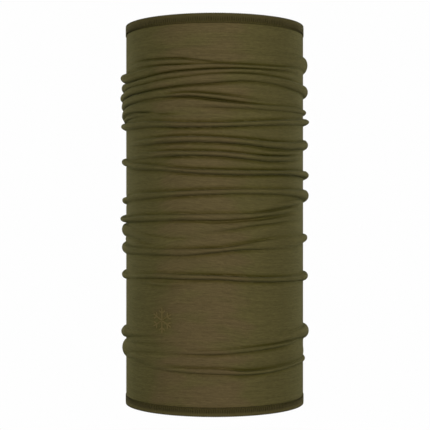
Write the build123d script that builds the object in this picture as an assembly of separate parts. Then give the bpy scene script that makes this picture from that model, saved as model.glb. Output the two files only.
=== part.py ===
from build123d import *
import math
import os

# A seamless knitted neck gaiter, standing open and gathered as it is worn: an open tube of merino
# jersey whose two raw edges are bound by a three-thread overlock. Millimetres, +Z up, the origin at
# the centre of the bottom rim. The printed emblem is on the front (-Y) and the label is on the back.

# Driving dimensions
body_radius = 75.0          # outside of the knit, for a neck opening of 471 mm around
gathered_height = 318.0     # rim to rim, pushed down; pulled out straight the tube is 450
knit_thickness = 0.8        # lightweight merino jersey
fold_height = 8.0           # each gathered fold, along the tube
fold_reach = 4.0            # how far a fold stands out from the tube
fold_levels = [46, 60, 108, 130, 141, 155, 172, 192, 204, 218, 238, 250, 261, 272, 283]

overlock_width = 8.0        # from the rim to the needle line
looper_thickness = 0.5      # the looper threads lying side by side
thread_radius = 0.2         # the needle thread
thread_gap = 0.05           # between a thread and the knit it lies on

emblem_size = 20.0          # across the snowflake
emblem_level = 75.0
emblem_angle = -34.0        # degrees round from the front, towards -X
emblem_stroke = 1.2
emblem_thickness = 0.12

label_width = 26.0
label_length = 38.0
label_thickness = 0.25      # two plies of folded satin tape
label_drop = 1.0            # from the needle line to the label's top edge
tack_count = 8
tack_radius = 0.15

# Worked out from them
inner_radius = body_radius - knit_thickness
needle_level = overlock_width + thread_radius + 2 * thread_gap
label_top = gathered_height - needle_level - thread_radius - label_drop
label_face = inner_radius - thread_gap


def ring(inside, outside, bottom, top):
    """A plain tube between two radii and two levels."""
    height = top - bottom
    wall = Cylinder(outside, height) - Cylinder(inside, height)
    return Pos(0, 0, (bottom + top) / 2) * wall


def thread_ring(radius, section_radius, level):
    """One thread lying level right round the tube."""
    return Pos(0, 0, level) * Torus(radius, section_radius)


def knit_outline():
    """The wall's section: straight inside, with one rounded fold at each level outside."""
    edges = []
    corner = (body_radius, 0)
    for level in fold_levels:
        foot = (body_radius, level - fold_height / 2)
        crest = (body_radius + fold_reach, level)
        head = (body_radius, level + fold_height / 2)
        edges.append(Line(corner, foot))
        edges.append(ThreePointArc(foot, crest, head))
        corner = head
    rim = (body_radius, gathered_height)
    inner_rim = (inner_radius, gathered_height)
    edges.append(Line(corner, rim))
    edges.append(Line(rim, inner_rim))
    edges.append(Line(inner_rim, (inner_radius, 0)))
    edges.append(Line((inner_radius, 0), (body_radius, 0)))
    return Plane.XZ * make_face(edges)


def knit_tube():
    """The seamless tube, with a shallow bed for each needle thread."""
    tube = revolve(knit_outline(), Axis.Z, 360)
    for level in (needle_level, gathered_height - needle_level):
        tube -= thread_ring(body_radius, thread_radius + thread_gap, level)
    return tube


def overlock(rim, sign):
    """The three threads that bind one rim: sign is 1 where the band runs up from it, -1 down."""
    levels = sorted((rim, rim + sign * overlock_width))
    outer_face = body_radius + thread_gap
    inner_face = inner_radius - thread_gap
    upper_looper = ring(outer_face, outer_face + looper_thickness, *levels)
    lower_looper = ring(inner_face - looper_thickness, inner_face, *levels)
    needle = thread_ring(body_radius, thread_radius, rim + sign * needle_level)
    return upper_looper, lower_looper, needle


def snowflake():
    """Six plain arms with a pair of barbs each, drawn flat about the origin."""
    arm = emblem_size / 2
    barb = arm * 0.36
    flake = Sketch()
    for turn in range(6):
        spoke = Pos(arm / 2, 0) * Rectangle(arm, emblem_stroke)
        for side in (1, -1):
            tip = Pos(arm * 0.58, 0) * Rot(0, 0, side * 55)
            spoke += tip * Pos(barb / 2, 0) * Rectangle(barb, emblem_stroke)
        flake += Rot(0, 0, turn * 60 + 30) * spoke
    return flake


def emblem_print():
    """The snowflake, laid round the outside of the knit as a thin transfer."""
    skin = ring(
        body_radius + thread_gap,
        body_radius + thread_gap + emblem_thickness,
        emblem_level - emblem_size,
        emblem_level + emblem_size,
    )
    front = Plane(origin=(0, 0, emblem_level), x_dir=(1, 0, 0), z_dir=(0, -1, 0))
    stamp = extrude(front * snowflake(), amount=body_radius * 1.2)
    return skin & (Rot(0, 0, emblem_angle) * stamp)


def care_label():
    """The satin tape, hanging against the inside of the back."""
    skin = ring(label_face - label_thickness, label_face, label_top - label_length, label_top)
    window = Pos(0, body_radius, label_top - label_length / 2)
    return skin & (window * Box(label_width, body_radius, label_length))


def care_label_stitches():
    """The short stitches that hold the label's top edge to the knit, just above it."""
    pitch = label_width / tack_count
    level = label_top + 2 * tack_radius
    stitches = []
    for count in range(tack_count):
        across = (count - (tack_count - 1) / 2) * pitch
        turn = math.degrees(math.asin(across / inner_radius))
        bar = Pos(0, inner_radius - thread_gap - tack_radius, level) * Rot(0, 90, 0)
        stitches.append(Rot(0, 0, -turn) * bar * Cylinder(tack_radius, pitch * 0.7))
    return Compound(children=stitches)


top = overlock(gathered_height, -1)
bottom = overlock(0, 1)
nodes = {
    "knit_tube": knit_tube(),
    "top_upper_looper_thread": top[0],
    "top_lower_looper_thread": top[1],
    "top_needle_thread": top[2],
    "bottom_upper_looper_thread": bottom[0],
    "bottom_lower_looper_thread": bottom[1],
    "bottom_needle_thread": bottom[2],
    "emblem_print": emblem_print(),
    "care_label": care_label(),
    "care_label_stitches": care_label_stitches(),
}

os.makedirs("parts", exist_ok=True)
for name, shape in nodes.items():
    export_step(shape, f"parts/{name}.step")
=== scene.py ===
import math

import bpy
import numpy as np
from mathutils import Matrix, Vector
from mathutils.geometry import delaunay_2d_cdt


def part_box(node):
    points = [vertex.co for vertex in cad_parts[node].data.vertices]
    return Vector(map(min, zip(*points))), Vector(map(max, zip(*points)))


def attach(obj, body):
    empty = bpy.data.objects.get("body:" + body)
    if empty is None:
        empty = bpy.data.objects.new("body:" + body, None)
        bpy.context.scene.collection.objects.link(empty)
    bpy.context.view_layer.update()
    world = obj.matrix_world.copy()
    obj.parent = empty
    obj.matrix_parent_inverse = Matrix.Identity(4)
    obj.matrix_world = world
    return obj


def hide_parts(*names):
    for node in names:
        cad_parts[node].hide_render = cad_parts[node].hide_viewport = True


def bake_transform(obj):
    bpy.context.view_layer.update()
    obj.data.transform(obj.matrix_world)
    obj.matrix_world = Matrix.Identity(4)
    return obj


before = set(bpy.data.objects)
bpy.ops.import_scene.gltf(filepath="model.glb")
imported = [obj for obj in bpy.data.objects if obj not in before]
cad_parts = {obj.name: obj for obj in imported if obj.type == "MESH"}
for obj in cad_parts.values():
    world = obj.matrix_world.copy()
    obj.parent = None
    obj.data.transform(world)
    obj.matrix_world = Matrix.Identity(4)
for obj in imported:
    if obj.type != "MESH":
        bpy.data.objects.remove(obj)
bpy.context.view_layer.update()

MM = 0.001

# ---- Sizes, in millimetres, read from the frame ----


def box_mm(node):
    """The lowest and the highest corner of a sub-part's box."""
    low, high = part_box(node)
    return [v / MM for v in low], [v / MM for v in high]


thread_low, thread_high = box_mm("bottom_needle_thread")
label_low, label_high = box_mm("care_label")
emblem_low, emblem_high = box_mm("emblem_print")

HEIGHT = box_mm("knit_tube")[1][2]
THREAD = (thread_high[2] - thread_low[2]) / 2
NEEDLE = (thread_high[2] + thread_low[2]) / 2  # the needle line, up from the rim
SEAM = {"top": NEEDLE - 0.4, "bottom": NEEDLE - 1.0}  # where each needle line has been pulled to
RADIUS = thread_high[0] - THREAD  # outside of the knit
BAND = box_mm("bottom_upper_looper_thread")[1][2]  # the overlock's width
GAP = 0.05  # between a thread and the knit it lies on
INNER = box_mm("bottom_lower_looper_thread")[1][0] + GAP  # inside of the knit
THICK = 0.7  # the knit, pressed a little
RAW = 0.45  # the raw edge's distance inside the rim

# ---- The folds ----
# Each fold is a rounded ridge that runs round the tube. Its points are (angle, lower edge, upper
# edge, reach): degrees round from the front, positive towards +X, and millimetres up the tube
# and out from it. A fold may run on past 270 for another turn, as a spiral, and a ring ends at
# 270 as it starts at -90. tuck is how deep the knit is pulled in along a fold's edges. A reach
# below nought is a thin crease, not a fold.

FOLDS = [
    # name, tuck, points
    ("shoulder", 0.4, [
        (-75, 284, 289, 0), (-50, 284, 291.5, 1.2), (-20, 282.6, 291.4, 1.3), (0, 278.5, 286.6, 1.3),
        (35, 278, 288, 1.1), (65, 280, 291, 2), (90, 279, 292, 3.8), (130, 279, 290, 3.8),
        (180, 277, 286, 4.4), (230, 273, 281, 4.6), (270, 271.5, 278.5, 5), (283, 269.5, 277, 4),
        (295, 268.5, 276.5, 2.8), (310, 269.7, 277.5, 1.9), (325, 271.6, 278.2, 1.8), (340, 273, 277.6, 1.6),
        (360, 274, 278.2, 1.4), (380, 274.5, 277.6, 1.2), (395, 274.8, 277.8, 1.1), (410, 275, 278.6, 1.1),
        (425, 274.5, 279.6, 1), (438, 275, 279, 0)]),
    ("split", 0.3, [
        (-68, 279.5, 283, 0), (-50, 278.6, 283.8, 1), (-35, 278.5, 283, 1.1), (-20, 278, 282.4, 1),
        (-5, 278, 280, 0)]),
    ("fine_top", 0, [
        (-70, 283, 285, 0), (-50, 283, 285, -0.5), (-35, 282.8, 284.6, -0.6), (-20, 281.8, 283.6, -0.8),
        (-8, 279.4, 281.2, -0.8), (6, 277.8, 279.6, 0)]),
    ("notch_line", 0, [
        (-96, 236, 238, 0), (-86, 238, 240, -1.3), (-76, 241, 243, -1.5), (-59, 241.7, 243.7, -1.2),
        (-47, 240.5, 242.5, -1.1), (-33, 238.5, 240.5, -1), (-20, 238.3, 240, -0.5), (-8, 238.3, 240, 0)]),
    ("fine_sash", 0, [
        (6, 132.8, 134.4, 0), (17, 133.7, 135.3, -0.7), (26, 134.9, 136.5, -0.7), (36, 136, 138, 0)]),
    ("fine_low", 0, [
        (-54, 101.6, 103.6, 0), (-42, 100.9, 102.9, -0.5), (-30, 100.6, 102.6, -0.5), (-14, 101, 103, 0)]),
    ("pair_top", 0, [
        (-10, 220.2, 222, 0), (2, 219.4, 221.2, -0.5), (12, 219, 220.8, -0.8), (25, 218.5, 220.3, -1.1),
        (33, 217.3, 219.1, -0.9), (45, 217, 218.8, 0)]),
    ("waist_line", 0, [
        (-72, 229.2, 231, 0), (-60, 228.6, 230.4, -0.5), (-46, 228.6, 230.4, -0.6), (-31, 228.1, 229.9, -0.8),
        (-21, 227, 228.8, -0.9), (-10, 226.8, 228.6, -0.9), (0, 226.8, 228.6, -0.8), (12, 227.5, 229.3, -0.7),
        (25, 228.3, 230.1, -0.6), (35, 229.1, 230.9, -0.4), (47, 230.1, 231.9, 0)]),
    ("waist_top", 0, [
        (2, 231.2, 233, 0), (15, 231.6, 233.4, -0.7), (25, 232.2, 234, -0.9), (33, 233, 234.8, -0.8),
        (43, 234.2, 236, -0.7), (60, 235.8, 237.6, -0.7), (80, 238, 239.8, 0)]),
    ("pair_foot", 0, [
        (-22, 204.6, 206.4, 0), (-10, 204.4, 206.2, -0.9), (2, 203.8, 205.6, 0)]),
    ("low_top", 0, [
        (-14, 110.7, 112.3, 0), (0, 110.5, 112.3, -0.9), (11, 110.3, 112.1, -0.9), (23, 109.4, 111, -0.4),
        (34, 108.8, 110.4, 0)]),
    ("sash_top", 0, [
        (13, 134, 135.8, 0), (24, 137, 138.6, -0.7), (33, 139.2, 140.8, -0.4), (43, 141, 142.6, 0)]),
    ("pair_line", 0, [
        (-12, 208.6, 210.4, 0), (0, 208.2, 210.2, -0.7), (13, 207.2, 209, -1), (27, 205.6, 207.4, 0)]),
    ("lip", 0.2, [
        (26, 163, 166, 0), (38, 163.8, 167.8, 0.8), (48, 165.2, 169.6, 1.2), (58, 166.3, 171, 1.5),
        (66, 167.5, 171.6, 1.1), (77, 168.5, 172, 0)]),
    ("wedge", 0, [
        (18, 159.6, 161.6, 0), (33, 160.8, 162.6, -0.9), (45, 162.5, 164.6, -0.8), (53, 164.2, 166.4, -0.8),
        (59, 165.5, 167.5, 0)]),
    ("fine_high", 0, [
        (-68, 270.8, 273, 0), (-58, 271.8, 274, -0.4), (-50, 273.2, 275.4, -0.5), (-40, 274.6, 276.7, -0.5),
        (-20, 274.5, 276.5, -0.5), (-2, 274.6, 276.2, 0)]),
    ("fine_mid", 0, [
        (0, 149.6, 151.6, 0), (13, 150.7, 152.3, -0.8), (32, 154.4, 156.2, -0.8), (46, 157.5, 159.2, -0.8),
        (62, 160, 162, 0)]),
    ("fine_left", 0, [
        (-72, 148.6, 150.6, 0), (-59, 146.6, 148.4, -0.8), (-45, 141.9, 143.7, -0.9),
        (-24, 139.4, 141.2, -0.9), (-6, 139, 141, 0)]),
    ("second", 0.1, [
        (-130, 265, 271, 0), (-110, 263.5, 270.5, 2.8), (-90, 262, 270, 3.8), (-65, 263.4, 268, 1.9),
        (-50, 263.6, 269.2, 1.9), (-35, 265.8, 271.2, 1.9), (-20, 267.5, 272.5, 1.8), (0, 269.4, 273.8, 1.7),
        (20, 270.6, 274.6, 1.5), (35, 269.8, 275.1, 1.2), (50, 269, 275.2, 0.9), (63, 268.6, 273, 0)]),
    ("plateau", 0.35, [
        (-90, 254.3, 262, 5.4), (-78, 256, 262.6, 4), (-65, 257.6, 264.4, 2.6), (-50, 258.2, 265, 2.3),
        (-35, 259.8, 267.2, 2.2), (-20, 261, 268.8, 2.3), (0, 262.6, 270.9, 2.8), (10, 263.8, 271.2, 2.4),
        (20, 264.7, 271.2, 1.9), (35, 263.8, 270, 1.8), (50, 262, 268.8, 2), (65, 260.2, 267.6, 2.3),
        (80, 258.8, 267.4, 3.6), (90, 258.4, 267.4, 4.2), (130, 259, 267, 4.2), (180, 257.5, 265, 4.4),
        (230, 255, 262.5, 4.8), (270, 254.3, 262, 5.4)]),
    ("fourth", 0.5, [
        (-90, 246.2, 254.2, 4), (-78, 248.6, 255.8, 3.2), (-65, 250.2, 257.3, 1.9), (-50, 251.4, 258, 1.7),
        (-35, 252.6, 259.5, 1.7), (-20, 254.3, 260.8, 1.7), (0, 253.4, 262.4, 1.5), (20, 251.8, 264.5, 1.3),
        (35, 250, 263.4, 1.1), (50, 249, 261.7, 1.1), (65, 249, 259.8, 1.1), (85, 249, 256, 0)]),
    ("lens", 0.5, [
        (-46, 252.2, 254.2, 0), (-32, 252.5, 255.3, 1), (-18, 252.6, 255.8, 1.8), (-8, 251.6, 255, 1.9),
        (0, 250.1, 253.9, 1.7), (20, 247.4, 251.7, 1), (35, 246.6, 250.2, 0.5), (50, 247, 249.6, 0.3),
        (70, 247.5, 249.5, 0)]),
    ("belt", 0.35, [
        (-34, 245, 251, 0), (-20, 244, 252.4, 1.1), (0, 243.4, 249, 1.7), (20, 242.6, 246.8, 1.5),
        (35, 242.3, 246.7, 1.3), (50, 242.6, 246.9, 1.4), (65, 242.8, 247, 1.6), (90, 243.4, 247.2, 1.9),
        (130, 243, 248.5, 2.6), (180, 244.5, 251, 3.4), (230, 246, 253.4, 3.8), (270, 246.2, 254.2, 4),
        (282, 248, 255.3, 0)]),
    ("left_pinch", 0.4, [
        (-135, 240, 246, 0), (-112, 239, 246.5, 2.4), (-90, 237.6, 246, 3.4), (-80, 239.8, 247.6, 3),
        (-65, 241.4, 249.8, 2.2), (-50, 241.2, 250.6, 1.7), (-35, 240.2, 251, 1.2), (-18, 240, 249, 0)]),
    ("left_notch", 0.3, [
        (-104, 235.5, 238.6, 0), (-90, 236.4, 239.6, 1.5), (-65, 238.3, 241.2, 1), (-50, 239, 241.8, 0.8),
        (-35, 239.2, 242, 0.6), (-20, 239.5, 242, 0)]),
    ("waist", 0.3, [
        (-90, 231.2, 236.8, 4.6), (-78, 230.2, 235.4, 3.2), (-65, 229.3, 235, 2), (-50, 229.4, 234.8, 1.6),
        (-35, 228.8, 233.8, 1.9), (-20, 228, 232.2, 2.4), (-8, 227.9, 231.7, 2.4), (0, 228, 231.7, 2.1),
        (20, 229, 232.8, 2), (35, 230.3, 234.4, 2), (50, 231.6, 236.2, 1.7), (65, 233, 238, 2.1),
        (80, 234.8, 239.4, 4.6), (90, 235.6, 240.8, 5.4), (130, 234, 241, 4.8), (180, 232, 239, 4),
        (230, 230.5, 238, 4.2), (270, 231.2, 236.8, 4.6)]),
    ("upper_pair", 0.8, [
        (-78, 216, 218.5, 0), (-65, 215.6, 218.8, 0.6), (-50, 214.8, 220.2, 1.6), (-35, 215.8, 221, 1.9),
        (-20, 216.4, 221.3, 2.4), (0, 215.8, 220.6, 2.1), (20, 214.3, 218.7, 2.1), (35, 212.4, 217.6, 2.2),
        (50, 212, 217.8, 2.1), (65, 213.2, 218.8, 2.3), (80, 214.2, 221, 4), (90, 214.3, 222.6, 4.3),
        (130, 211, 219, 4.2), (180, 206, 213.5, 3.8), (230, 202, 209.5, 3.8), (270, 200.6, 206.8, 3.8),
        (280, 200.4, 206, 2.8), (290, 198.2, 204, 1.9), (307, 195.2, 200.6, 1.9), (321, 194.5, 199, 1.5),
        (330, 193.4, 197.6, 1.5), (342, 192, 195.4, 2), (351, 191.2, 194.8, 2.3), (360, 190.6, 194.5, 2.2),
        (380, 190.2, 194.2, 2.2), (395, 190.7, 194.3, 2.3), (410, 191.3, 194.8, 2.7), (425, 191, 195.5, 2.6),
        (440, 190, 196, 4.7), (450, 189.3, 196.3, 5), (490, 187, 194, 4.4), (540, 181, 188, 3.4),
        (590, 174, 180.5, 2.8), (630, 168, 174, 2.7), (640, 168.6, 173.8, 2.4), (655, 170.2, 176, 1.5),
        (670, 171.2, 177, 1.6), (685, 172.5, 177.4, 1.8), (700, 173.7, 178, 1.9), (720, 174.8, 179, 1.7),
        (740, 175.2, 179.7, 1.4), (755, 175.2, 179.8, 1.4), (770, 174.6, 179.8, 1.7),
        (785, 173.3, 179.8, 2.2), (800, 171.4, 180, 4.6), (810, 170.3, 180.2, 4.9), (850, 167, 175.5, 4.6),
        (900, 160.5, 168, 4.4), (950, 155.5, 162, 4.8), (990, 153, 158.5, 5.2), (1000, 152.7, 156.8, 4.4),
        (1015, 152.9, 157.4, 2), (1030, 153.3, 158.6, 1.7), (1045, 153.8, 159.2, 1.9),
        (1060, 154.6, 159.6, 1.9), (1080, 154.2, 160, 1.9), (1100, 155.6, 160.2, 1.4),
        (1115, 157.7, 161.4, 1.2), (1130, 160.2, 164.4, 0.9),
        (1143, 162.4, 166, 0.6), (1156, 164, 167.4, 0)]),
    ("lower_pair", 0.8, [
        (-66, 205, 208, 0), (-57, 204.5, 208.4, 0.8), (-49, 204.5, 209.8, 1.1), (-35, 205, 209.9, 1.7),
        (-20, 205.5, 209.5, 2.3), (0, 205, 209.1, 1.9), (20, 202.7, 207.1, 1.9), (35, 201.3, 205.7, 1.8),
        (50, 202, 206.4, 1.6), (65, 203.8, 208, 0.9), (82, 205, 208, 0)]),
    ("short_pleat", 0.4, [
        (22, 207.5, 210.5, 0), (34, 206.3, 210.5, 0.8), (48, 206.5, 210.8, 0.8), (62, 208.2, 212, 0.7),
        (76, 210.5, 212.5, 0)]),
    ("slant", 0.5, [
        (-32, 142, 153, 0), (-10, 143, 153.6, 1), (0, 144.8, 152.6, 1.5), (10, 146.8, 152.8, 1.7),
        (20, 149.2, 154.2, 1.5), (35, 151.4, 155.9, 1.3), (50, 153.2, 158, 1.1), (65, 154.5, 160, 0.8),
        (85, 156, 161, 0)]),
    ("left_bulge", 0.4, [
        (-135, 142, 150, 0), (-112, 141, 151, 2.6), (-90, 140.8, 152, 3.6), (-80, 141.8, 151.4, 3),
        (-68, 140.6, 150, 1.7), (-57, 138.6, 149, 1.5), (-47, 136, 148.2, 1.5), (-38, 134.4, 147.4, 0.9),
        (-22, 134, 146, 0)]),
    ("left_pleat", 0.25, [
        (-94, 136.5, 141, 0), (-80, 135.4, 141.2, 0.7), (-68, 133.4, 140, 1), (-57, 131.8, 138.2, 1.3),
        (-47, 131.4, 135.6, 0.9), (-38, 131, 134, 0.5), (-24, 131, 133.6, 0)]),
    ("sash", 0.55, [
        (-90, 127, 136.4, 3.6), (-80, 126.6, 134.8, 2.8), (-65, 126.4, 132.6, 1.8), (-50, 126.5, 132.8, 1.6),
        (-35, 126.4, 132, 1.7), (-20, 126.5, 132.2, 1.8), (0, 128.9, 132.6, 2.1), (20, 131.2, 136.2, 2.1),
        (35, 131.2, 139.5, 1.8), (50, 131.6, 141, 1.7), (65, 133.4, 142, 1.9), (80, 135.6, 142.6, 2.6),
        (90, 136.4, 142.8, 3.5), (130, 135, 143, 3.6), (180, 131.5, 139, 3.4), (230, 128, 136.6, 3.4),
        (270, 127, 136.4, 3.6)]),
    ("ripple", 0.3, [
        (-20, 134, 143, 0), (10, 137, 146.5, 0.7), (35, 140.2, 151, 0.9), (55, 142, 153, 1),
        (85, 144, 152, 0)]),
    ("low_pair", 0.5, [
        (-90, 105.2, 112.2, 3.6), (-78, 105.3, 110.4, 2), (-65, 106.3, 109.8, 0.7), (-50, 107.4, 111, 1.1),
        (-35, 108, 112.4, 1.4), (-20, 107.8, 112, 1.6), (0, 107.7, 111.4, 1.9), (20, 106, 109.9, 1.9),
        (35, 105.2, 109.1, 1.8), (50, 104.7, 108.8, 1.5), (65, 104.4, 109.3, 1.5), (80, 103.9, 110.4, 4),
        (90, 103.7, 111, 4.2), (130, 104, 111.5, 4.2), (180, 105.5, 113, 3.8), (230, 106, 113.5, 3.6),
        (270, 105.2, 112.2, 3.6)]),
    ("faint", 0.3, [
        (-58, 102.8, 105, 0), (-35, 102.5, 105.2, 0.7), (-20, 102.5, 105, 0.6), (0, 102.5, 104.5, 0)]),
    ("hip_left", 0.2, [
        (-90, 55.6, 64.6, 4.4), (-80, 56.6, 64.4, 3.2), (-65, 58.4, 64.6, 1.3), (-50, 60.3, 64.8, 0.7),
        (-35, 61.6, 64.8, 0.4), (-22, 62, 64.5, 0)]),
    ("hip_pleat", 0.2, [
        (-84, 53, 56.6, 0), (-65, 53.6, 58.4, 0.7), (-50, 54.4, 60.2, 0.9), (-35, 55.6, 61.6, 0.6),
        (-18, 57, 61, 0)]),
    ("hip", 0.5, [
        (-125, 44, 52, 0), (-106, 41, 52.8, 2.2), (-90, 38.8, 53.6, 3.4), (-80, 41, 53.4, 2.6),
        (-65, 44.6, 53.6, 1.3), (-50, 47, 54.6, 1), (-35, 48.5, 56, 0.9), (-20, 48.9, 57, 0.9),
        (0, 48.9, 57, 1), (10, 51, 57.5, 0.8), (20, 54, 59, 0.6), (35, 54.8, 61, 0.9), (50, 56.1, 63, 1.4),
        (65, 57, 64.6, 2.1), (80, 56, 65.8, 4.2), (90, 54.6, 66.4, 5), (130, 55, 66, 4.8), (180, 56, 65, 4.4),
        (230, 56, 64.8, 4.4), (270, 55.6, 64.6, 4.4)]),
    ("hip_under", 0.4, [
        (-44, 47.6, 51, 0), (-20, 48.2, 52.4, 0.9), (0, 48.6, 53, 1.4), (20, 50.1, 54.3, 1.3),
        (35, 51.8, 54.9, 1.2), (50, 53, 56.2, 1.1), (62, 54.4, 57, 0.5), (74, 55.5, 57.5, 0)]),
    ("skirt", 0.3, [
        (-84, 38.5, 43, 0), (-65, 40.4, 46, 1.1), (-50, 38.2, 47.4, 1.3), (-35, 36.5, 48.4, 1.5),
        (-20, 38, 48.7, 0.9), (0, 37.6, 48.5, 0.8), (20, 36.8, 50.2, 0.8), (35, 37.6, 51, 1),
        (50, 38.6, 51.8, 1.1), (65, 39, 52, 1), (80, 40.5, 48, 0.6), (92, 42, 47, 0)]),
    ("skirt_pleat", 0.6, [
        (-52, 37, 40.5, 0), (-38, 35.2, 39.6, 0.7), (-20, 33.9, 38.2, 1.1), (0, 33.2, 38.2, 1.4),
        (20, 32.2, 35.4, 1.5), (35, 32.7, 36.1, 1.3), (50, 34.1, 37.6, 1.1), (68, 35.6, 38.6, 0.9),
        (84, 35.8, 39.4, 1.2), (96, 36, 40, 1), (108, 37, 40, 0)]),
    # folds that only the back shows
    ("back_high", 0.5, [
        (118, 222, 226, 0), (140, 221, 227, 2.6), (175, 219, 226, 3.2), (205, 217.5, 223, 2.4),
        (232, 217, 221, 0)]),
    ("back_pleat", 0.5, [
        (112, 196.5, 200, 0), (135, 196, 201, 2), (165, 193, 199, 2.4), (195, 191, 195.5, 0)]),
    ("back_mid", 0.5, [
        (125, 145, 149, 0), (150, 143.5, 150, 2.2), (190, 142, 149.5, 2.8), (225, 141, 148, 2.4),
        (250, 141, 147, 0)]),
    ("back_low", 0.5, [
        (120, 118, 121, 0), (150, 117, 122.5, 2), (185, 118, 123, 1.6), (215, 119, 123, 0)]),
    ("back_hip", 0.5, [
        (105, 44, 48, 0), (135, 43, 49.5, 2.4), (180, 41, 48, 2.8),
        (225, 42, 48.5, 2.2), (255, 43.5, 48, 0)]),
]

CREST = 0.85       # 0.5 gives a fold a semicircle for a section, and 1 a parabola
PINCH = 0.38       # how far a tight fold's sides turn back over its foot, of half its height
GAIN = 1.25        # millimetres added to a tight fold's reach
RISE = 0.13        # how far a fold leans up the tube at its crest, of its reach
FOOT = 1.1         # half the width of the tuck along a fold's edges
FLAT = 0.02        # a reach below this is no ridge
GROOVE = 0.3       # how deep each needle thread pulls the knit in
GROOVE_HALF = 0.7  # half the groove's width

COLUMNS = 168      # of the knit's mesh, round the tube
ROWS = 500         # from rim to rim
LEVELS = 3000      # places along the tube at which the folds are worked out
CLOTH = 450        # the knit's length before it is gathered


def smooth(xs, ys, x):
    """A smooth curve through the points, that never overshoots, and keeps its end values."""
    xs, ys = np.asarray(xs, float), np.asarray(ys, float)
    chords = np.diff(ys) / np.diff(xs)
    slopes = np.zeros_like(ys)
    same = chords[1:] * chords[:-1] > 0
    slopes[1:-1][same] = 2 * (chords[1:] * chords[:-1])[same] / (chords[1:] + chords[:-1])[same]
    x = np.clip(x, xs[0], xs[-1])
    k = np.clip(np.searchsorted(xs, x, side="right") - 1, 0, len(xs) - 2)
    step = xs[k + 1] - xs[k]
    t = (x - xs[k]) / step
    ease = t * t * (3 - 2 * t)
    rise = t * (1 - t) * step * ((1 - t) * slopes[k] - t * slopes[k + 1])
    return ys[k] * (1 - ease) + ys[k + 1] * ease + rise


def unit(value):
    """The nearest number between 0 and 1."""
    return min(1, max(0, value))


def fold_surface(angle, levels):
    """One column of the knit: how far it stands out, moves along the tube, and dips in."""
    facing = unit(math.cos(math.radians(angle)) / 0.75)
    out, along, under, dip = (np.zeros_like(levels) for _ in range(4))
    for _, tuck, points in FOLDS:
        at = [p[0] for p in points]
        turn = angle + 360 * math.ceil((at[0] - angle) / 360)
        while turn <= at[-1]:
            low, high, reach = (float(smooth(at, [p[k] for p in points], turn)) for k in (1, 2, 3))
            turn += 360
            half = (high - low) / 2
            off = levels - (low + high) / 2
            across = np.clip(off / half, -1, 1)
            if reach <= FLAT:
                dip = np.maximum(dip, -reach * (1 - across ** 2) ** 1.5)
                continue
            tight = unit((reach / half - 0.3) / 0.6)
            squeeze = unit((4 - reach) / 1.5) * (0.6 + 0.4 * facing)
            edge = np.abs(off) - half
            dip = np.maximum(dip, tuck * tight * min(1, reach) * squeeze * np.exp(-(edge / FOOT) ** 2))
            reach += GAIN * tight * min(1, reach) * squeeze
            ridge = reach * (1 - across ** 2) ** CREST
            head = half * PINCH * tight * across * np.sqrt(1 - across ** 2) + RISE * ridge
            higher = ridge > out
            under = np.where(higher, out, np.maximum(under, ridge))
            out = np.where(higher, ridge, out)
            along = np.where(higher, head, along)
    return out, along * (1 - under / np.maximum(out, 1e-6)), dip


def blur(values, axis, width, wrap):
    """Averages neighbours along one axis with a bell of that width in samples."""
    reach = int(math.ceil(2.5 * width))
    bell = np.exp(-0.5 * (np.arange(-reach, reach + 1) / width) ** 2)
    bell /= bell.sum()
    pad = [(0, 0)] * values.ndim
    pad[axis] = (reach, reach)
    padded = np.pad(values, pad, mode="wrap" if wrap else "edge")
    size = values.shape[axis]
    parts = [w * np.take(padded, range(k, k + size), axis) for k, w in enumerate(bell)]
    return sum(parts)


def needle_dip(levels):
    """The groove that each needle thread pulls into the knit."""
    lines = (SEAM["bottom"], HEIGHT - SEAM["top"])
    return sum(GROOVE * np.exp(-(((levels - line) / GROOVE_HALF) ** 2)) for line in lines)


def knit_grid():
    """The knit's outer face as rows by columns of points, and the length of cloth up to each row.

    The rows lie closer together on folds and creases than on the plain knit. Their places are
    evened out between neighbouring columns, which keeps the faces square.
    """
    fine = np.linspace(0, HEIGHT, LEVELS)
    angles = np.arange(COLUMNS) * 360 / COLUMNS - 180
    surface = [fold_surface(a, fine) for a in angles]
    out, along, dip = (blur(blur(np.array([s[k] for s in surface]), 1, 1.5, False), 0, 0.7, True)
                       for k in range(3))
    # a ridge of 0.25 mm or a crease of 0.2 mm is enough to draw the rows together
    busy = blur(1 - np.exp(-((out / 0.25) ** 2) - (dip / 0.2) ** 2), 1, 10, False)
    weight = 0.2 + 0.8 * blur(busy, 0, 1.5, True)
    radius = RADIUS + out - dip - needle_dip(fine)
    level = RAW + (fine + along) * (HEIGHT - 2 * RAW) / HEIGHT
    step = np.pad(np.hypot(np.diff(radius), np.diff(level)), ((0, 0), (1, 0)))
    length = np.cumsum(step, axis=1)
    share = np.cumsum(step * weight, axis=1)
    place = np.array([np.interp(np.linspace(0, s[-1], ROWS), s, fine) for s in share])
    place = blur(place, 0, 4.0, True)
    grid = np.zeros((ROWS, COLUMNS, 3))
    cloth = np.zeros((ROWS, COLUMNS))
    for j, a in enumerate(np.radians(angles)):
        r, z = (np.interp(place[j], fine, values[j]) for values in (radius, level))
        grid[:, j] = np.stack([r * math.sin(a), -r * math.cos(a), z], 1)
        cloth[:, j] = np.interp(place[j], fine, length[j]) * CLOTH / length[j, -1]
    return grid, cloth


# ---- Letting the folds settle ----

SIM_SCALE = 20         # the cloth solver works best on a large tube
SIM_FRAMES = 10
SIM_CAP = 0.8          # the furthest that a point may move, mm
FORM_SIDES = 96
FORM_INSET = 1.3       # from the plain knit's outer face in to the form that it lies on
FORM_MARGIN = 20       # how far the form reaches past each rim
GRIP_REACH = 1.5       # how far out the form's friction still holds the knit
GRIP_EDGE = 6          # the knit is held up to this far past the overlock


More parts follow.
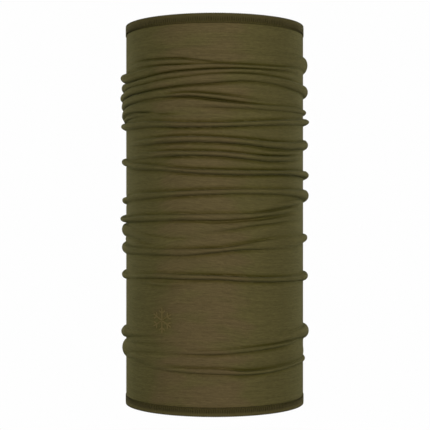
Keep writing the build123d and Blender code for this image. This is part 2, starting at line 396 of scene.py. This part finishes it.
def settle(grid):
    """Hangs the folds with Blender's Cloth; the knit between them is held on the form by friction."""
    rows, columns = grid.shape[:2]
    kept = np.unique(np.round(np.linspace(0, rows - 1, rows // 2)).astype(int))
    rest = grid[kept]
    tube = new_mesh("settling", rest.reshape(-1, 3) * SIM_SCALE, quads(len(kept), columns))
    lifted = np.hypot(rest[..., 0], rest[..., 1]) - RADIUS
    grip = np.exp(-(np.clip(lifted, 0, None) / GRIP_REACH) ** 2)
    edge = np.minimum(rest[..., 2], HEIGHT - rest[..., 2])
    grip = np.maximum(grip, np.clip((BAND + GRIP_EDGE - edge) * 2 / GRIP_EDGE, 0, 1)).ravel()
    held = tube.vertex_groups.new(name="held")
    for k, share in enumerate(grip):
        held.add([k], float(share), "REPLACE")
    cloth = tube.modifiers.new("cloth", "CLOTH")
    settings = cloth.settings
    settings.quality = 4
    settings.mass = 0.25
    settings.air_damping = 2.0
    settings.tension_stiffness = 25
    settings.compression_stiffness = 12
    settings.shear_stiffness = 8
    settings.bending_stiffness = 1.0
    settings.vertex_group_mass = "held"
    settings.pin_stiffness = 1.0
    cloth.collision_settings.use_collision = True
    cloth.collision_settings.distance_min = 0.2 * MM * SIM_SCALE
    cloth.point_cache.frame_start = 1
    cloth.point_cache.frame_end = SIM_FRAMES
    around = np.arange(FORM_SIDES) * 2 * math.pi / FORM_SIDES
    ends = [on_tube(around, RADIUS - FORM_INSET, z) for z in (-FORM_MARGIN, HEIGHT + FORM_MARGIN)]
    form = new_mesh("form", np.concatenate(ends) * SIM_SCALE, quads(2, FORM_SIDES))
    stir = bpy.data.objects.new("stir", None)
    scene = bpy.context.scene
    scene.collection.objects.link(stir)
    with bpy.context.temp_override(object=stir, active_object=stir):
        bpy.ops.object.forcefield_toggle()
    stir.field.type = "TURBULENCE"
    stir.field.strength = 3
    stir.field.size = 1.5
    stir.field.noise = 0
    stir.field.seed = 4
    form.modifiers.new("collision", "COLLISION")
    form.collision.thickness_outer = 0.001
    scene.gravity = (0, 0, -2.5)
    for number in range(1, SIM_FRAMES + 1):
        scene.frame_set(number)
    graph = bpy.context.evaluated_depsgraph_get()
    found = np.zeros(len(tube.data.vertices) * 3)
    tube.evaluated_get(graph).data.vertices.foreach_get("co", found)
    move = found.reshape(rest.shape) / MM / SIM_SCALE - rest
    bpy.data.objects.remove(stir)
    for obj in (tube, form):
        mesh = obj.data
        bpy.data.objects.remove(obj)
        bpy.data.meshes.remove(mesh)
    scene.frame_set(1)
    move = blur(blur(move, 0, 2.0, False), 1, 2.0, True)
    length = np.linalg.norm(move, axis=-1, keepdims=True)
    move *= np.minimum(1, SIM_CAP / np.maximum(length, 1e-9))
    every = np.arange(rows)
    full = [[np.interp(every, kept, move[:, j, c]) for j in range(columns)] for c in range(3)]
    return grid + np.stack(full, -1).transpose(1, 0, 2)


def quads(rows, columns, closed=True, start=0, flip=False):
    """The faces of a grid of points, whose rows close on themselves or not."""
    faces = []
    for low in range(start, start + (rows - 1) * columns, columns):
        for j in range(columns if closed else columns - 1):
            n = (j + 1) % columns
            face = (low + j, low + n, low + columns + n, low + columns + j)
            faces.append(face[::-1] if flip else face)
    return faces


def knit_object(grid, cloth):
    """The knit as one closed skin: its outer face, a coarser inner face, and a rim at each end."""
    rows, columns = grid.shape[:2]
    kept = np.unique(np.round(np.linspace(0, rows - 1, rows // 3)).astype(int))
    inner = (grid - face_normals(grid) * THICK)[kept][:, ::2]
    away = np.hypot(inner[..., 0], inner[..., 1])
    inner[..., :2] *= (np.maximum(away, RADIUS - THICK - 0.7) / away)[..., None]
    inner[[0, -1], :, 2] = grid[[0, -1], ::2, 2]
    few = columns // 2
    base = rows * columns
    faces = quads(rows, columns) + quads(len(kept), few, start=base, flip=True)
    for row, start, flip in ((0, base, True), (rows - 1, base + (len(kept) - 1) * few, False)):
        for j in range(few):
            n = (j + 1) % few
            ring = [row * columns + c % columns for c in (2 * j, 2 * j + 1, 2 * j + 2)]
            face = (*ring, start + n, start + j)
            faces.append(face[::-1] if flip else face)
    points = np.concatenate([grid.reshape(-1, 3), inner.reshape(-1, 3)])
    obj = new_mesh("knit_body", points, faces)
    angle = np.broadcast_to(np.arange(columns) * 2 * math.pi / columns - math.pi, cloth.shape)
    rest = np.stack([RADIUS * np.sin(angle), -RADIUS * np.cos(angle), cloth], -1)
    rest = np.concatenate([rest.reshape(-1, 3), rest[kept][:, ::2].reshape(-1, 3)])
    store(obj, "rest_mm", rest)
    return obj


def face_normals(grid, closed=True):
    """The direction across a grid of points at each of them."""
    around = np.roll(grid, -1, 1) - np.roll(grid, 1, 1) if closed else np.gradient(grid, axis=1)
    normal = np.cross(around, np.gradient(grid, axis=0))
    return normal / np.maximum(np.linalg.norm(normal, axis=-1, keepdims=True), 1e-9)


def new_mesh(name, points_mm, faces, smooth_faces=True):
    """A mesh object from points in millimetres."""
    mesh = bpy.data.meshes.new(name)
    mesh.from_pydata((np.asarray(points_mm, float) * MM).tolist(), [], faces)
    mesh.validate()
    if smooth_faces:
        mesh.polygons.foreach_set("use_smooth", [True] * len(mesh.polygons))
    mesh.update()
    obj = bpy.data.objects.new(name, mesh)
    bpy.context.scene.collection.objects.link(obj)
    return obj


def store(obj, name, values):
    """Gives each point of a mesh a number or a vector, for its material to read."""
    kind, field = ("FLOAT", "value") if values.ndim == 1 else ("FLOAT_VECTOR", "vector")
    attribute = obj.data.attributes.new(name, kind, "POINT")
    attribute.data.foreach_set(field, values.astype(np.float32).ravel())


def strand(route, up, half_width, half_thick, sides=6, closed=False):
    """Points, faces and yarn coordinates of a thread of oval section that follows a route.

    up is each route point's direction away from the cloth. The yarn coordinates are the length
    along the thread in millimetres and the share of a turn round it.
    """
    count = len(route)
    if closed:
        ahead = np.roll(route, -1, 0) - np.roll(route, 1, 0)
    else:
        ahead = np.gradient(route, axis=0)
    side = np.cross(ahead, up)
    side /= np.linalg.norm(side, axis=1, keepdims=True)
    rise = np.cross(side, ahead)
    rise /= np.linalg.norm(rise, axis=1, keepdims=True)
    turn = np.arange(sides) * 2 * math.pi / sides
    points = (route[:, None] + side[:, None] * (half_width * np.cos(turn))[None, :, None]
              + rise[:, None] * (half_thick * np.sin(turn))[None, :, None])
    length = np.concatenate([[0], np.cumsum(np.linalg.norm(np.diff(route, axis=0), axis=1))])
    yarn = np.zeros((count, sides, 3))
    yarn[..., 0] = length[:, None]
    yarn[..., 1] = np.sin(turn)
    yarn[..., 2] = np.cos(turn)
    faces = []
    for k in range(count if closed else count - 1):
        low, high = k * sides, (k + 1) % count * sides
        for a in range(sides):
            b = (a + 1) % sides
            faces.append((low + a, high + a, high + b, low + b))
    if not closed:
        faces.append(tuple(range(sides)))
        faces.append(tuple((count - 1) * sides + a for a in reversed(range(sides))))
    return points.reshape(-1, 3), faces, yarn.reshape(-1, 3)


# How pale a thread is painted: one plain tone in general, paler by a share of painted light at the lower and
# at the upper rim, where the rolled edge would catch light from the floor, and darker again with painted
# shade in a ditch between the rim and the needle line.
PLAIN_TONE = 0.3
PAINTED_RIM_LIGHT_SHARES = (0.7, 0.35)
PAINTED_RIM_LIGHT_WIDTH = 3.0
DITCH_AT, DITCH_HALF = 3.6, 0.5


def thread_object(name, strands):
    """One mesh from several strands, with how pale each point is painted (painted light at the rims, painted
    shade in a ditch) stored as its edge.
    """
    points, faces, yarn = [], [], []
    start = 0
    for some_points, some_faces, some_yarn in strands:
        faces += [tuple(start + v for v in face) for face in some_faces]
        points.append(some_points)
        yarn.append(some_yarn)
        start += len(some_points)
    obj = new_mesh(name, np.concatenate(points), faces)
    store(obj, "yarn", np.concatenate(yarn))
    level = np.concatenate(points)[:, 2]
    inset = np.minimum(level, HEIGHT - level)
    # Painted light at each rim, stronger at the lower one, and painted shade in the ditch.
    tone_and_painted_light = np.where(level < HEIGHT / 2, *PAINTED_RIM_LIGHT_SHARES) * np.exp(-((inset / PAINTED_RIM_LIGHT_WIDTH) ** 4))
    ditch = PLAIN_TONE * np.exp(-(((inset - DITCH_AT) / DITCH_HALF) ** 2))
    store(obj, "edge", PLAIN_TONE + tone_and_painted_light - ditch)
    return obj


def on_tube(angle, radius, level):
    """Points at those angles (radians round from the front), distances out and levels."""
    angle, radius, level = np.broadcast_arrays(angle, radius, level)
    return np.stack([radius * np.sin(angle), -radius * np.cos(angle), level], -1)


# ---- Materials ----


KNIT_BROWN = (0.125, 0.0985, 0.046)
KNIT_OLIVE = (0.1115, 0.1, 0.0385)
PAINTED_WARM_FRONT = math.radians(-8)       # the middle of the front, where the knit is painted browner as warm light
CREASE = (1.4, 1.34, 2.8)      # how fast red, green and blue fall in the painted shade of a crease
WALES = 760                    # columns of stitches round the tube
COURSE = 0.5                   # height of one row of stitches, mm
EMBLEM_LIGHT = (0.155, 0.12, 0.042, 1)
EMBLEM_DARK = (0.10, 0.078, 0.030, 1)


class Graph:
    """Short names for the shader nodes that a material or a world is built from."""

    def __init__(self, name, kind=bpy.data.materials):
        self.owner = kind.new(name)
        self.owner.use_nodes = True
        self.nodes, self.links = self.owner.node_tree.nodes, self.owner.node_tree.links

    def put(self, value, socket):
        if isinstance(value, bpy.types.NodeSocket):
            self.links.new(value, socket)
        else:
            socket.default_value = value

    def attribute(self, name, kind="Vector"):
        node = self.nodes.new("ShaderNodeAttribute")
        node.attribute_name = name
        return node.outputs[kind]

    def split(self, vector):
        node = self.nodes.new("ShaderNodeSeparateXYZ")
        self.put(vector, node.inputs[0])
        return node.outputs

    def maths(self, operation, *values):
        node = self.nodes.new("ShaderNodeMath")
        node.operation = operation
        for value, socket in zip(values, node.inputs):
            self.put(value, socket)
        return node.outputs[0]

    def scaled(self, vector, x, y, z):
        node = self.nodes.new("ShaderNodeVectorMath")
        node.operation = "MULTIPLY"
        self.put(vector, node.inputs[0])
        node.inputs[1].default_value = (x, y, z)
        return node.outputs[0]

    def noise(self, vector, scale, detail=2.0, rough=0.5):
        node = self.nodes.new("ShaderNodeTexNoise")
        self.put(vector, node.inputs["Vector"])
        node.inputs["Scale"].default_value = scale
        node.inputs["Detail"].default_value = detail
        node.inputs["Roughness"].default_value = rough
        return node.outputs["Fac"]

    def ramp(self, value, *stops):
        node = self.nodes.new("ShaderNodeValToRGB")
        self.put(value, node.inputs[0])
        elements = node.color_ramp.elements
        while len(elements) < len(stops):
            elements.new(0.5)
        for element, (position, colour) in zip(elements, stops):
            element.position = position
            element.color = (*colour, 1) if hasattr(colour, "__len__") else (colour,) * 3 + (1,)
        return node.outputs[0]

    def mix(self, kind, share, a, b):
        node = self.nodes.new("ShaderNodeMix")
        node.data_type = "RGBA"
        node.blend_type = kind
        self.put(share, node.inputs["Factor"])
        self.put(a, node.inputs["A"])
        self.put(b, node.inputs["B"])
        return node.outputs["Result"]

    def times(self, a, b):
        return self.mix("MULTIPLY", 1.0, a, b)

    def shade(self, distance, *powers):
        """Painted shade: darker, and warmer, where the surface is hemmed in by its own folds."""
        node = self.nodes.new("ShaderNodeAmbientOcclusion")
        node.samples = 6
        node.inputs["Distance"].default_value = distance
        join = self.nodes.new("ShaderNodeCombineColor")
        for socket, power in zip(join.inputs, powers):
            self.put(self.maths("POWER", node.outputs["AO"], power), socket)
        return join.outputs[0]

    def bump(self, height, distance, strength=1.0, below=None):
        node = self.nodes.new("ShaderNodeBump")
        node.inputs["Strength"].default_value = strength
        node.inputs["Distance"].default_value = distance
        self.put(height, node.inputs["Height"])
        if below is not None:
            self.put(below, node.inputs["Normal"])
        return node.outputs["Normal"]

    def finish(self, colour, normal=None, rough=0.9, specular=0.15, **more):
        inputs = self.nodes["Principled BSDF"].inputs
        self.put(colour, inputs["Base Color"])
        self.put(rough, inputs["Roughness"])
        self.put(specular, inputs["Specular IOR Level"])
        if normal is not None:
            self.put(normal, inputs["Normal"])
        for name, value in more.items():
            self.put(value, inputs[name.replace("_", " ")])
        return self.owner


def knit_finish():
    """Plain merino jersey in a heathered olive brown, with its wales and courses, painted browner on its
    front as warm light and painted darker in its creases as shade.
    """
    g = Graph("merino_knit")
    rest = g.attribute("rest_mm")
    x, y, z = g.split(rest)
    streak = g.noise(g.scaled(rest, 0.22, 0.22, 1.5), 1.0, 3.0, 0.6)
    slub = g.noise(g.scaled(rest, 0.04, 0.04, 0.6), 1.0, 2.0)
    patch = g.noise(g.scaled(rest, 0.03, 0.03, 0.07), 1.0, 1.0)
    fleck = g.noise(rest, 2.2, 2.0)
    # Painted light: the knit is painted browner round the front, as the warm key light would make it, and
    # olive towards the sides. Random patches, the knit's own tone, vary the share.
    front = g.maths("MULTIPLY", y, -math.cos(PAINTED_WARM_FRONT) / RADIUS)
    front = g.maths("MULTIPLY_ADD", x, math.sin(PAINTED_WARM_FRONT) / RADIUS, front)
    tone_and_painted_light = g.maths("MULTIPLY_ADD", g.maths("SUBTRACT", front, 0.924), 2.5, patch)
    brown = g.maths("MULTIPLY", g.ramp(tone_and_painted_light, (0.36, 0.0), (0.64, 1.0)),
                    g.ramp(g.maths("MULTIPLY", z, 1 / HEIGHT), (0.32, 1.0), (0.42, 0.75)))
    base = g.ramp(brown, (0.0, KNIT_OLIVE), (1.0, KNIT_BROWN))
    colour = g.times(base, g.ramp(streak, (0.25, 0.78), (0.5, 1.0), (0.78, 1.22)))
    colour = g.times(colour, g.ramp(slub, (0.3, 0.9), (0.7, 1.1)))
    colour = g.times(colour, g.ramp(fleck, (0.3, 0.86), (0.7, 1.14)))
    # Painted shade: the knit is painted darker and warmer in its creases, where its own folds hem it in.
    colour = g.times(colour, g.shade(0.004, *CREASE))
    angle = g.maths("ARCTAN2", x, g.maths("MULTIPLY", y, -1.0))
    wale = g.maths("FRACT", g.maths("MULTIPLY", angle, WALES / (2 * math.pi)))
    off = g.maths("ABSOLUTE", g.maths("SUBTRACT", g.maths("MULTIPLY", wale, 2.0), 1.0))
    course = g.maths("ADD", g.maths("MULTIPLY", z, 1 / COURSE), g.maths("MULTIPLY", off, 0.5))
    loop = g.maths("SINE", g.maths("MULTIPLY", course, 2 * math.pi))
    leg = g.maths("SINE", g.maths("MULTIPLY", off, math.pi))
    stitch = g.maths("MULTIPLY_ADD", loop, 0.3, leg)
    normal = g.bump(stitch, 0.00011, 0.55)
    normal = g.bump(g.noise(rest, 1.1, 3.0), 0.00025, 0.5, normal)
    return g.finish(colour, normal, 0.92, 0.08, Sheen_Weight=0.08, Sheen_Roughness=0.3,
                    Sheen_Tint=(0.72, 0.78, 0.42, 1))


def yarn_finish(name, dark, light, pitch, sheen):
    """A spun thread: two plies twisted together."""
    g = Graph(name)
    along, up, side = g.split(g.attribute("yarn"))
    around = g.maths("ARCTAN2", up, side)
    twist = g.maths("SINE", g.maths("ADD", g.maths("MULTIPLY", along, 2 * math.pi / pitch), around))
    ply = g.maths("MULTIPLY_ADD", twist, 0.5, 0.5)
    fibre = g.noise(g.attribute("yarn"), 4.0, 2.0)
    colour = g.mix("MIX", g.maths("MULTIPLY_ADD", fibre, 0.8, g.maths("MULTIPLY", ply, 0.35)), dark, light)
    # Painted light at the rims and painted shade in the ditch, read from the edge attribute.
    colour = g.times(colour, g.ramp(g.attribute("edge", "Fac"), (0.0, 0.7), (0.3, 1.0), (1.0, 1.55)))
    # Painted shade: the thread is painted darker where its neighbours and the knit hem it in.
    colour = g.times(colour, g.shade(0.0015, 0.6, 0.6, 0.8))
    normal = g.bump(ply, 0.00012, 0.7)
    return g.finish(colour, normal, 0.85, 0.06, Sheen_Weight=sheen, Sheen_Roughness=0.5,
                    Sheen_Tint=(0.8, 0.8, 0.55, 1))


def print_finish():
    """A thin matt film, pressed into the knit so that the wales show through."""
    g = Graph("transfer_print")
    place = g.nodes.new("ShaderNodeTexCoord").outputs["Object"]
    speck = g.noise(place, 2600.0, 2.0)
    grain = g.noise(g.scaled(place, 1, 1, 2.5), 700.0, 2.0)
    colour = g.mix("MIX", g.ramp(speck, (0.42, 0.0), (0.6, 0.55)), EMBLEM_LIGHT, EMBLEM_DARK)
    return g.finish(colour, g.bump(grain, 0.0001, 0.5), 0.62, 0.3)


def label_finish():
    """Satin tape: long floats of thread that run down the label, with dull woven edges."""
    g = Graph("label_satin")
    place = g.attribute("tape_mm")
    across, down = g.split(place)[:2]
    floats = g.noise(g.scaled(place, 9, 0.6, 0), 1.0, 2.0)
    step = g.maths("SINE", g.maths("MULTIPLY_ADD", down, 2 * math.pi / 0.5, g.maths("MULTIPLY", across, 7.0)))
    colour = g.ramp(floats, (0.3, (0.42, 0.40, 0.34)), (0.7, (0.55, 0.53, 0.46)))
    rib = g.maths("LESS_THAN", g.maths("SUBTRACT", LABEL_WIDTH / 2, g.maths("ABSOLUTE", across)), 1.0)
    colour = g.mix("MIX", g.maths("MULTIPLY", rib, 0.4), colour, (0.35, 0.33, 0.27, 1))
    height = g.maths("MULTIPLY_ADD", step, 0.25, floats)
    return g.finish(colour, g.bump(height, 0.00006, 0.6), 0.38, 0.5, Sheen_Weight=0.2)


# ---- The knit ----

grid, cloth = knit_grid()
grid = settle(grid)
knit = knit_object(grid, cloth)
knit.data.materials.append(knit_finish())
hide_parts("knit_tube")


def follow_knit(obj):
    """Bakes the object's placement into its mesh."""
    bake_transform(obj)


follow_knit(knit)

# ---- The overlocked edges ----

STITCHES = 260         # overlock stitches round each edge
LEG_STEPS = 7          # route points down each leg of a stitch
LOOPER = (0.6, 0.2)    # half the width and thickness of the fluffy looper thread
WANDER = 0.3           # how unevenly the looper thread's legs lie
TURN = 0.22            # the distance from the rim at which the looper thread turns back
CURL = 0.55            # how far from its turn it starts to curl over the raw edge
TUCK_IN = 0.42         # how far towards the edge's middle the curl takes it
LIE = 0.27             # from the knit's face to the middle of the looper thread
DIP = 0.22             # how far each stitch pulls the needle thread in


def edge_of(rim, inward):
    """Levels by how far they lie in from the rim."""
    return lambda inset: rim + inward * np.asarray(inset)


def looper_route(face, sign, seam, level_of):
    """Loops from the needle line to the rim and back, two legs to each stitch.

    face is the distance out of the thread's middle where it lies on the knit, sign is 1 outside
    the tube and -1 inside, and the thread curls over the raw edge at each turn.
    """
    t = np.linspace(0, 1, LEG_STEPS, endpoint=False)
    down = np.concatenate([t, 1 - t])
    inset = TURN + (seam - TURN - 0.1) * (1 - np.sin(down * math.pi / 2) ** 0.9)
    curl = np.exp(-((inset - TURN) / CURL) ** 2)
    stitch = (inset, face - sign * curl * TUCK_IN, math.pi / 2 * curl, np.sin(down * math.pi) * WANDER)
    inset, radius, tilt, slack = (np.tile(v, STITCHES) for v in stitch)
    steps = np.arange(2 * STITCHES * LEG_STEPS)
    loose = slack * np.sin(steps * 0.37 + 5 * np.sin(steps * 0.011))
    angle = (steps / LEG_STEPS + 0.35 * loose) * math.pi / STITCHES
    route = on_tube(angle, radius, level_of(inset))
    over = np.array([0, 0, level_of(0) - level_of(1)])
    outward = on_tube(angle, 1.0, 0.0) * sign
    return route, outward * np.cos(tilt)[:, None] + over * np.sin(tilt)[:, None]


def needle_strands(seam, level_of):
    """One short stitch after another, each end pulled down into the knit."""
    route, up = [], []
    t = np.linspace(0, 1, 6, endpoint=False)
    for k in range(STITCHES):
        angle = (k + t) * 2 * math.pi / STITCHES
        radius = RADIUS - DIP - 0.28 + 0.45 * np.sin(t * math.pi) ** 0.6
        route.append(on_tube(angle, radius, level_of(seam + 0.06 * math.sin(k * 1.7))))
        up.append(on_tube(angle, 1.0, 0.0))
    return strand(np.concatenate(route), np.concatenate(up), 0.27, 0.2, closed=True)


looper_finish = yarn_finish("overlock_thread", (0.045, 0.039, 0.015, 1), (0.088, 0.076, 0.031, 1), 1.3, 0.05)
needle_finish = yarn_finish("needle_thread", (0.034, 0.029, 0.013, 1), (0.062, 0.053, 0.024, 1), 0.8, 0.1)

for place, body, rim, inward in (("top", "upper_rim", HEIGHT, -1), ("bottom", "lower_tube", 0, 1)):
    level_of = edge_of(rim, inward)
    for kind, face, sign in (("upper", RADIUS + LIE, 1), ("lower", INNER - LIE, -1)):
        route, up = looper_route(face, sign, SEAM[place], level_of)
        obj = thread_object(f"{place}_{kind}_looper", [strand(route, up, *LOOPER, closed=True)])
        obj.data.materials.append(looper_finish)
        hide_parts(f"{place}_{kind}_looper_thread")
        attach(obj, body)
    obj = thread_object(f"{place}_needle", [needle_strands(SEAM[place], level_of)])
    obj.data.materials.append(needle_finish)
    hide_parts(f"{place}_needle_thread")
    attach(obj, body)

# ---- The printed snowflake ----

FLAKE = (emblem_high[2] - emblem_low[2]) / 2
FLAKE_LEVEL = (emblem_high[2] + emblem_low[2]) / 2
FLAKE_ANGLE = math.atan2(emblem_low[0] + emblem_high[0], -(emblem_low[1] + emblem_high[1]))
STROKE = 1.2
FILM = (0.17, -0.02)   # where the film's top and its foot lie, out from the knit
BARB_AT, BARB_LONG, BARB_TURN = 0.58, 0.36, math.radians(55)


def flake_outline():
    """Once round the snowflake, as six plain arms with a pair of barbs each."""
    w = STROKE / 2
    cos, sin = math.cos(BARB_TURN), math.sin(BARB_TURN)
    root, long = FLAKE * BARB_AT, FLAKE * BARB_LONG
    valley = w / math.tan(math.radians(30))
    side = [(valley, w), (root + w * cos / sin - w / sin, w),
            (root + long * cos - w * sin, long * sin + w * cos),
            (root + long * cos + w * sin, long * sin - w * cos),
            (root + w * cos / sin + w / sin, w), (FLAKE, w)]
    arm = [(x, -y) for x, y in side] + side[::-1]
    points = []
    for turn in range(6):
        a = math.radians(turn * 60 + 30)
        c, s = math.cos(a), math.sin(a)
        points += [(x * c - y * s, x * s + y * c) for x, y in arm[:-1]]
    dense = []
    for (x0, y0), (x1, y1) in zip(points, points[1:] + points[:1]):
        parts = max(1, round(math.hypot(x1 - x0, y1 - y0) / 0.8))
        dense += [(x0 + (x1 - x0) * k / parts, y0 + (y1 - y0) * k / parts) for k in range(parts)]
    return dense


def flake_object():
    """The outline filled in, laid on the knit, with a thin edge turned down to it."""
    outline = flake_outline()
    count = len(outline)
    edges = [(k, (k + 1) % count) for k in range(count)]
    flat, _, faces = delaunay_2d_cdt([Vector(p) for p in outline], edges, [], 3, 1e-6)[:3]
    flat = np.array([tuple(p) for p in flat])
    angle = FLAKE_ANGLE + flat[:, 0] / RADIUS
    top, foot = (on_tube(angle, RADIUS + out, FLAKE_LEVEL + flat[:, 1]) for out in FILM)
    n = len(flat)
    solid = [tuple(f) for f in faces] + [tuple(n + v for v in reversed(f)) for f in faces]
    uses = dict.fromkeys((a, b) for f in faces for a, b in zip(f, list(f[1:]) + [f[0]]))
    solid += [(b, a, n + a, n + b) for a, b in uses if (b, a) not in uses]
    return new_mesh("emblem_snowflake", np.concatenate([top, foot]), solid, smooth_faces=False)


emblem = flake_object()
emblem.data.materials.append(print_finish())
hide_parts("emblem_print")
follow_knit(emblem)

# ---- The care label, inside the back ----

LABEL_WIDTH = label_high[0] - label_low[0]
LABEL_TOP = label_high[2]
LABEL_LONG = label_high[2] - label_low[2]
LABEL_FACE = label_high[1]
TAPE = 0.11


def label_object():
    """Satin tape folded in half: two plies, joined by a soft bend along the bottom edge."""
    columns = 27
    across = np.linspace(-1, 1, columns) * LABEL_WIDTH / 2
    bend = 0.6
    drop = np.linspace(0, LABEL_LONG - bend, 34)
    curl = np.linspace(0, math.pi, 9)[1:-1]
    down = np.concatenate([drop, LABEL_LONG - bend + bend * np.sin(curl), drop[::-1]])
    gap = np.concatenate([0 * drop, (1 - np.cos(curl)) / 2, 0 * drop + 1])
    open_up = 0.16 + 0.9 * (down / LABEL_LONG) ** 2
    lift = 1.9 * (down / LABEL_LONG) ** 2.2
    middle = []
    for d, share, spread, raised in zip(down, gap, open_up, lift):
        wave = 0.22 * np.sin(across * 0.32 + d * 0.09) * (d / LABEL_LONG)
        edge_roll = 0.35 * (np.abs(across) / (LABEL_WIDTH / 2)) ** 3 * (d / LABEL_LONG)
        back = np.sqrt(LABEL_FACE ** 2 - across ** 2) - TAPE - share * spread - raised - wave - edge_roll
        middle.append(np.stack([across, back, np.full(columns, LABEL_TOP - d)], 1))
    middle = np.array(middle)
    normal = -face_normals(middle, closed=False)
    rows = len(middle)
    skins = np.concatenate([middle + normal * TAPE / 2, middle - normal * TAPE / 2]).reshape(-1, 3)
    faces = quads(rows, columns, False) + quads(rows, columns, False, rows * columns, True)
    point = np.arange(rows * columns).reshape(rows, columns)
    border = np.concatenate([point[0, :-1], point[:-1, -1], point[-1, :0:-1], point[:0:-1, 0]]).tolist()
    for a, b in zip(border, border[1:] + border[:1]):
        faces.append((b, a, rows * columns + a, rows * columns + b))
    obj = new_mesh("care_label_tape", skins, faces)
    tape = np.zeros((2, rows, columns, 3))
    tape[..., 0] = across
    tape[..., 1] = np.concatenate([[0], np.cumsum(np.abs(np.diff(down)) + 0.02)])[None, :, None]
    store(obj, "tape_mm", tape)
    return obj


label = label_object()
label.data.materials.append(label_finish())
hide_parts("care_label")
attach(label, "care_label")

TACKS = 14


def tack_strands():
    """Lockstitches along the label's top edge, each one dipping into the knit at both ends."""
    strands = []
    pitch = LABEL_WIDTH / TACKS
    t = np.linspace(0, 1, 7)
    for k in range(TACKS):
        across = -LABEL_WIDTH / 2 + (k + 0.08 + 0.84 * t) * pitch
        angle = math.pi - across / INNER
        radius = INNER + 0.15 - 0.55 * np.sin(t * math.pi) ** 0.7
        level = LABEL_TOP + 0.3 + 0.03 * math.sin(k * 2.1)
        strands.append(strand(on_tube(angle, radius, level), -on_tube(angle, 1.0, 0.0), 0.17, 0.14))
    return strands


tacks = thread_object("care_label_tacks", tack_strands())
tacks.data.materials.append(needle_finish)
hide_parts("care_label_stitches")
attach(tacks, "upper_rim")

# ---- Floor, light and camera ----

scene = bpy.context.scene


PALE = 0.991           # brightness of the floor and of the background
FLOOR_HALF = 9000
FLOOR_LEVEL = -0.3
AIM = Vector((0, 0, 0.16))     # the middle of the gaiter, in metres

corners = [(x * FLOOR_HALF, y * FLOOR_HALF, FLOOR_LEVEL) for x, y in ((-1, -1), (1, -1), (1, 1), (-1, 1))]
floor = new_mesh("floor", corners, [(0, 1, 2, 3)])
floor.data.materials.append(Graph("floor").finish((0, 0, 0, 1), None, 1.0, 0.0, Emission_Color=(1, 1, 1, 1),
                                                  Emission_Strength=PALE))
floor.visible_diffuse = False
floor.visible_glossy = False

SKY = ((0.0, 0.02), (0.3, 0.08), (0.5, 0.55), (0.7, 0.11), (1.0, 0.05))     # straight down to straight up

# The background is white for the camera, and a dim band of soft light for the gaiter.
studio = Graph("studio", bpy.data.worlds)
scene.world = studio.owner
seen = studio.nodes["Background"]
seen.inputs["Color"].default_value = (1, 1, 1, 1)
seen.inputs["Strength"].default_value = PALE
up = studio.split(studio.nodes.new("ShaderNodeTexCoord").outputs["Generated"])[2]
stops = [(level, (value * 0.9, value, value * 0.68)) for level, value in SKY]
sky = studio.ramp(studio.maths("MULTIPLY_ADD", up, 0.5, 0.5), *stops)
fill = studio.nodes.new("ShaderNodeBackground")
studio.put(sky, fill.inputs["Color"])
mix = studio.nodes.new("ShaderNodeMixShader")
studio.put(studio.nodes.new("ShaderNodeLightPath").outputs["Is Camera Ray"], mix.inputs["Fac"])
studio.put(fill.outputs["Background"], mix.inputs[1])
studio.put(seen.outputs["Background"], mix.inputs[2])
studio.put(mix.outputs["Shader"], studio.nodes["World Output"].inputs["Surface"])


def area_light(name, shape, width, energy, colour, place):
    """A lamp at a place in metres that faces the gaiter."""
    data = bpy.data.lights.new(name, "AREA")
    data.shape = shape
    data.size, data.size_y = width, 0.5
    data.energy = energy
    data.color = colour
    lamp = bpy.data.objects.new(name, data)
    scene.collection.objects.link(lamp)
    lamp.location = place
    lamp.rotation_euler = (AIM - lamp.location).to_track_quat("-Z", "Y").to_euler()
    return lamp


area_light("key", "DISK", 0.5, 8.4, (1.0, 0.885, 0.89), (0.1, -1.15, 0.3))
for side in (-1, 1):
    rim = area_light("rim", "RECTANGLE", 0.8, 10.2 - 1.2 * side, (1.0, 0.92, 0.64), (side * 0.82, 0.88, 0.18))
    rim.visible_camera = False

middle = HEIGHT / 2 * MM
camera_data = bpy.data.cameras.new("camera")
camera_data.lens = 95.27
camera_data.sensor_width = 36
camera = bpy.data.objects.new("camera", camera_data)
scene.collection.objects.link(camera)
camera.location = (0.0003, -0.968, middle - 0.0001)
camera.rotation_euler = (math.pi / 2, 0, 0)
scene.camera = camera
scene.view_settings.view_transform = "Standard"
